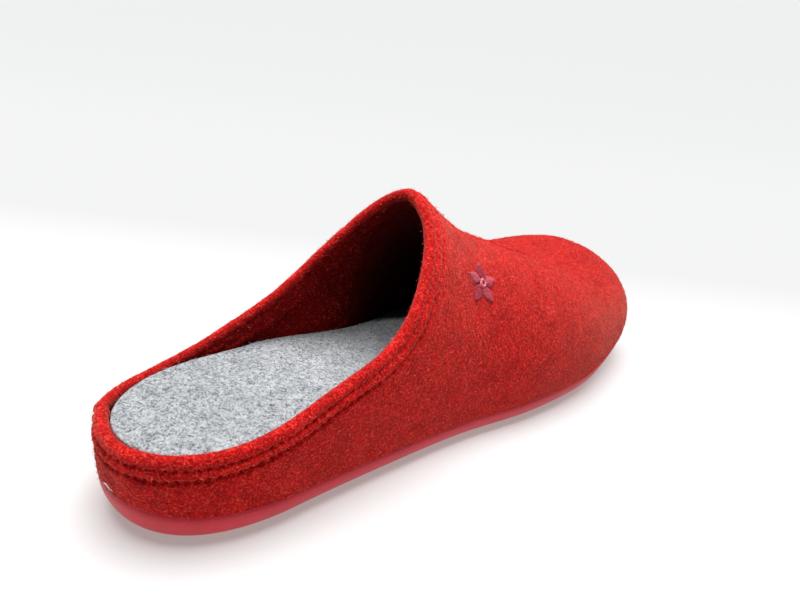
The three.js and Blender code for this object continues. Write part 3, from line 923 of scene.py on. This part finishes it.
class Nodes:
    """Short names for the nodes of a procedural material."""

    def __init__(self, name):
        self.material = bpy.data.materials.new(name)
        self.material.use_nodes = True
        self.tree = self.material.node_tree
        self.shader = self.tree.nodes["Principled BSDF"]
        self.place = self.tree.nodes.new("ShaderNodeTexCoord").outputs["Object"]

    def link(self, source, target):
        self.tree.links.new(source, target)

    def noise(self, scale, detail, roughness, distortion=0.0, stretch=None):
        node = self.tree.nodes.new("ShaderNodeTexNoise")
        place = self.place
        if stretch:
            mapping = self.tree.nodes.new("ShaderNodeMapping")
            mapping.inputs["Scale"].default_value = stretch
            self.link(place, mapping.inputs["Vector"])
            place = mapping.outputs["Vector"]
        self.link(place, node.inputs["Vector"])
        values = {"Scale": scale, "Detail": detail, "Roughness": roughness, "Distortion": distortion}
        for key, value in values.items():
            node.inputs[key].default_value = value
        return node.outputs["Fac"]

    def streaks(self, scale, stretch):
        """Crossing fibres: the highest of a few noises, each drawn out another way."""
        highest = None
        for turn in FIBRE_TURNS:
            mapping = self.tree.nodes.new("ShaderNodeMapping")
            mapping.vector_type = "TEXTURE"
            mapping.inputs["Rotation"].default_value = turn
            mapping.inputs["Scale"].default_value = (1, 1, stretch)
            self.link(self.place, mapping.inputs["Vector"])
            noise = self.tree.nodes.new("ShaderNodeTexNoise")
            noise.inputs["Scale"].default_value = scale
            noise.inputs["Detail"].default_value = STREAK_DETAIL
            self.link(mapping.outputs["Vector"], noise.inputs["Vector"])
            if highest is None:
                highest = noise.outputs["Fac"]
                continue
            larger = self.tree.nodes.new("ShaderNodeMath")
            larger.operation = "MAXIMUM"
            self.link(highest, larger.inputs[0])
            self.link(noise.outputs["Fac"], larger.inputs[1])
            highest = larger.outputs[0]
        return highest

    def ramp(self, source, stops):
        node = self.tree.nodes.new("ShaderNodeValToRGB")
        elements = node.color_ramp.elements
        while len(elements) < len(stops):
            elements.new(0.5)
        for element, (position, color) in zip(elements, stops):
            element.position = position
            element.color = (*color, 1)
        self.link(source, node.inputs["Fac"])
        return node.outputs["Color"]

    def mix(self, first, second, factor, mode="MIX"):
        node = self.tree.nodes.new("ShaderNodeMix")
        node.data_type = "RGBA"
        node.blend_type = mode
        node.inputs["Factor"].default_value = factor
        self.link(first, node.inputs[FIRST_COLOR])
        self.link(second, node.inputs[SECOND_COLOR])
        return node.outputs[MIXED_COLOR]

    def multiply(self, first, second):
        return self.mix(first, second, 1.0, "MULTIPLY")

    def add(self, first, second, weight):
        """first + weight * second, as a height."""
        node = self.tree.nodes.new("ShaderNodeMath")
        node.operation = "MULTIPLY_ADD"
        self.link(second, node.inputs[0])
        node.inputs[1].default_value = weight
        self.link(first, node.inputs[2])
        return node.outputs[0]

    def bump(self, height, distance, strength):
        node = self.tree.nodes.new("ShaderNodeBump")
        node.inputs["Distance"].default_value = distance
        node.inputs["Strength"].default_value = strength
        self.link(height, node.inputs["Height"])
        self.link(node.outputs["Normal"], self.shader.inputs["Normal"])

    def set(self, **values):
        for key, value in values.items():
            self.shader.inputs[key.replace("_", " ")].default_value = value


def red_felt(name, bloom):
    """Dense wool felt: crossing fibres in several reds over darker hollows, with painted shade inside the
    shoe.
    """
    n = Nodes(name)
    fibres = n.streaks(scale=1700, stretch=4)
    clumps = n.noise(scale=430, detail=5, roughness=0.7, distortion=1.0)
    patches = n.noise(scale=110, detail=3, roughness=0.6)
    wool = n.mix(n.ramp(fibres, RED_FIBRES), n.ramp(clumps, RED_CLUMPS), factor=0.45)
    wool = n.multiply(wool, n.ramp(patches, RED_PATCHES))
    # Painted shade: the attribute darkens the wool's colour inside the shoe
    depth = n.tree.nodes.new("ShaderNodeAttribute")
    depth.attribute_name = INSIDE_SHADE
    shade = n.ramp(depth.outputs["Fac"], RED_INSIDE_SHADE)
    n.link(n.multiply(wool, shade), n.shader.inputs["Base Color"])
    n.bump(n.add(fibres, clumps, weight=0.8), distance=0.0005, strength=0.8)
    n.set(Roughness=0.9, Specular_IOR_Level=0.08)
    n.set(Sheen_Weight=bloom, Sheen_Roughness=0.4, Sheen_Tint=BLOOM_TINT)
    return n.material


def grey_felt():
    """Speckled grey felt: pale wool with dark fibres scattered through it."""
    n = Nodes("grey_felt")
    flecks = n.streaks(scale=1400, stretch=2.5)
    blots = n.noise(scale=520, detail=4, roughness=0.65, distortion=1.2)
    clouds = n.noise(scale=150, detail=3, roughness=0.6)
    wool = n.mix(n.ramp(flecks, GREY_FLECKS), n.ramp(blots, GREY_BLOTS), factor=0.45)
    n.link(n.multiply(wool, n.ramp(clouds, GREY_CLOUDS)), n.shader.inputs["Base Color"])
    n.bump(n.add(flecks, blots, weight=0.6), distance=0.0006, strength=0.7)
    n.set(Roughness=0.95, Specular_IOR_Level=0.2, Sheen_Weight=0.1, Sheen_Roughness=0.5)
    return n.material


def raspberry_rubber():
    """Moulded rubber, semi-matt, with a faint grain and scuffs."""
    n = Nodes("raspberry_rubber")
    grain = n.noise(scale=1500, detail=3, roughness=0.5)
    scuffs = n.noise(scale=120, detail=5, roughness=0.7, distortion=0.8)
    n.link(n.ramp(scuffs, RUBBER_TONE), n.shader.inputs["Base Color"])
    n.link(n.ramp(scuffs, RUBBER_ROUGHNESS), n.shader.inputs["Roughness"])
    n.bump(n.add(grain, scuffs, weight=0.5), distance=0.00012, strength=0.6)
    n.set(Specular_IOR_Level=0.32)
    return n.material


def sewing_thread(name):
    """Twisted thread, lighter and darker along its strands."""
    n = Nodes(name)
    dark, pale = THREAD_TONES[name]
    strands = n.noise(scale=1600, detail=4, roughness=0.6, distortion=0.5, stretch=(1.0, 0.35, 1.0))
    n.link(n.ramp(strands, [(0.35, dark), (0.65, pale)]), n.shader.inputs["Base Color"])
    n.bump(strands, distance=0.0002, strength=0.7)
    n.set(Roughness=0.6)
    return n.material


def wool_fibre(name):
    """Loose fibres, most of them dull and some of them pale."""
    n = Nodes(name)
    dark, dull, pale = WOOL_TONES[name]
    tone = n.noise(scale=1100, detail=2, roughness=0.5)
    n.link(n.ramp(tone, [(0.36, dark), (0.56, dull), (0.66, pale)]), n.shader.inputs["Base Color"])
    n.set(Roughness=1.0, Specular_IOR_Level=0.1)
    return n.material


def seamless_paper():
    """White paper with a little glow of painted light that lifts its shadows, and by its own glow alone where
    it fades into the distance.
    """
    n = Nodes("seamless_paper")
    parts = n.tree.nodes.new("ShaderNodeSeparateXYZ")
    n.link(n.place, parts.inputs[0])
    away = n.tree.nodes.new("ShaderNodeMath")
    n.link(parts.outputs["Y"], away.inputs[0])
    n.link(parts.outputs["Z"], away.inputs[1])
    share = n.tree.nodes.new("ShaderNodeMapRange")
    share.inputs["From Max"].default_value = PAPER_FAR + PAPER_TOP
    n.link(away.outputs[0], share.inputs["Value"])
    start, end = (limit / (PAPER_FAR + PAPER_TOP) for limit in PAPER_FADE)
    tones = list(zip((0.0, start, end), PAPER_TONES))
    glow = list(zip((0.0, start, end, FAR_UP), PAPER_GLOW))
    n.link(n.ramp(share.outputs[0], tones), n.shader.inputs["Base Color"])
    n.link(n.ramp(share.outputs[0], glow), n.shader.inputs["Emission Color"])
    n.set(Roughness=0.9, Specular_IOR_Level=0.0, Emission_Strength=1.0)
    return n.material


def dress(piece, slot, *replaced):
    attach(piece, "root")
    if replaced:
        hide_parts(*replaced)


def make_upper(origin):
    """Felt upper and its loose fibres."""
    felt = Felt()
    points, faces, lit, inside = upper_surface(felt)
    # The inner side gets a copy of the felt without sheen: a shaded copy that keeps the inside darker
    outer, inner = red_felt("red_felt", OUTER_BLOOM), red_felt("shaded_inner_red_felt", 0.0)
    upper = make_piece("upper_felt", points, faces, origin, outer, inside)
    upper.data.materials.append(inner)
    for face in upper.data.polygons[len(felt.faces) : 2 * len(felt.faces)]:
        face.material_index = 1
    dress(upper, "upper", "upper")
    fuzz = make_fibres(points, lit, *UPPER_FIBRES)
    dress(make_piece("upper_fuzz", *fuzz, origin, wool_fibre("red_wool_fibre")), "upper")


def make_outsole(origin):
    outsole = make_piece("outsole_rubber", *outsole_surface(), origin, raspberry_rubber())
    dress(outsole, "outsole", "outsole")


def make_insole(origin):
    """Felt insole and its loose fibres."""
    points, faces, lit = insole_surface()
    dress(make_piece("insole_felt", points, faces, origin, grey_felt()), "insole", "insole")
    fuzz = make_fibres(points, lit, *INSOLE_FIBRES)
    dress(make_piece("insole_fuzz", *fuzz, origin, wool_fibre("grey_wool_fibre")), "insole")


def make_trimmings(origin):
    """Stitching, sewn flower and stray fibre, which all belong to the upper."""
    petals, heart = flower_threads()
    trimmings = (
        ("collar_stitching", collar_stitches(), sewing_thread("red_thread")),
        ("flower_petals", petals, sewing_thread("plum_thread")),
        ("flower_heart", heart, sewing_thread("pink_thread")),
        ("loose_fibre", loose_fibre(), wool_fibre("pale_wool_fibre")),
    )
    for name, shape, material in trimmings:
        dress(make_piece(name, *shape, origin, material), "upper")


def find_origin():
    """Where the back of the heel on the centre line lies in the row frame, in metres."""
    low = outsole_surface()[0].min(0) * MM
    return np.array(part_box("outsole")[0]) - low


def make_camera(origin):
    azimuth, elevation, roll = (math.radians(v) for v in (AZIMUTH, ELEVATION, ROLL))
    level = math.cos(elevation)
    back = Vector((math.sin(azimuth) * level, -math.cos(azimuth) * level, math.sin(elevation)))
    right = (-back).cross(Vector((0, 0, 1))).normalized()
    up = right.cross(-back)
    tilted = right * math.cos(roll) + up * math.sin(roll)
    upright = up * math.cos(roll) - right * math.sin(roll)
    data = bpy.data.cameras.new("camera")
    data.sensor_width = SENSOR
    data.lens = SENSOR * FOCAL_SHARE
    data.clip_start = CLIP_START
    camera = bpy.data.objects.new("camera", data)
    turn = Matrix((tilted, upright, back)).transposed().to_4x4()
    place = Vector(origin) + (Vector(TARGET) + back * DISTANCE) * MM
    camera.matrix_world = Matrix.Translation(place) @ turn
    bpy.context.scene.collection.objects.link(camera)
    bpy.context.scene.camera = camera


def make_floor():
    """A sheet of paper that lies under the shoe and sweeps up far behind it."""
    profile = [(PAPER_NEAR, 0.0), (PAPER_FAR, 0.0)]
    for k in range(1, BEND_STEPS + 1):
        turn = RIGHT_ANGLE * k / BEND_STEPS
        profile.append((PAPER_FAR + PAPER_BEND * math.sin(turn), PAPER_BEND * (1 - math.cos(turn))))
    profile.append((PAPER_FAR + PAPER_BEND, PAPER_TOP))
    points = [(x, y, z) for y, z in profile for x in (-PAPER_HALF, PAPER_HALF)]
    faces = [(2 * k, 2 * k + 1, 2 * k + 3, 2 * k + 2) for k in range(len(profile) - 1)]
    mesh = bpy.data.meshes.new("paper")
    mesh.from_pydata(points, [], faces)
    mesh.polygons.foreach_set("use_smooth", [True] * len(mesh.polygons))
    mesh.materials.append(seamless_paper())
    paper = bpy.data.objects.new("paper", mesh)
    paper.location = (0, 0, -PAPER_DROP)
    paper.rotation_euler = (0, 0, math.radians(AZIMUTH))
    bpy.context.scene.collection.objects.link(paper)


def add_light(name, kind, energy, coming_from, place=(0, 0, 0)):
    """A light at a place, turned so that it comes from a direction."""
    data = bpy.data.lights.new(name, kind)
    data.energy = energy
    light = bpy.data.objects.new(name, data)
    light.location = place
    light.rotation_euler = (-Vector(coming_from)).to_track_quat("-Z", "Y").to_euler()
    bpy.context.scene.collection.objects.link(light)
    return data


def make_lights(origin):
    """A wide soft light from above, and a narrow one from behind the heel into the shoe."""
    softbox = add_light("softbox", "SUN", SOFTBOX_STRENGTH, SOFTBOX_FROM)
    softbox.angle = math.radians(SOFTBOX_WIDTH)
    place = Vector(origin) + Vector(REFLECTOR_AT) * MM + Vector(REFLECTOR_FROM)
    reflector = add_light("reflector", "SPOT", REFLECTOR_WATTS, REFLECTOR_FROM, place)
    reflector.spot_size = math.radians(REFLECTOR_CONE)
    reflector.spot_blend = 1.0
    reflector.shadow_soft_size = REFLECTOR_SIZE


def make_room():
    """The room's faint light, and the plain tones of the picture."""
    world = bpy.data.worlds.new("studio")
    world.use_nodes = True
    background = world.node_tree.nodes["Background"]
    background.inputs["Color"].default_value = ROOM_TINT
    background.inputs["Strength"].default_value = ROOM_LIGHT
    bpy.context.scene.world = world
    bpy.context.scene.view_settings.view_transform = "Standard"


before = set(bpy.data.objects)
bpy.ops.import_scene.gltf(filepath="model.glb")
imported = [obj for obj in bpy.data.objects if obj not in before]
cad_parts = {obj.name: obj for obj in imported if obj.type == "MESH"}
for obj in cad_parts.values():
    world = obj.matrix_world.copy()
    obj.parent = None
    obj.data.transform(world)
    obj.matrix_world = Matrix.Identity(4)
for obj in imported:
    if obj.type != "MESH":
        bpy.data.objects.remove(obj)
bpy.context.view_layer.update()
heel_origin = find_origin()
make_upper(heel_origin)
make_outsole(heel_origin)
make_insole(heel_origin)
make_trimmings(heel_origin)
make_camera(heel_origin)
make_floor()
make_lights(heel_origin)
make_room()
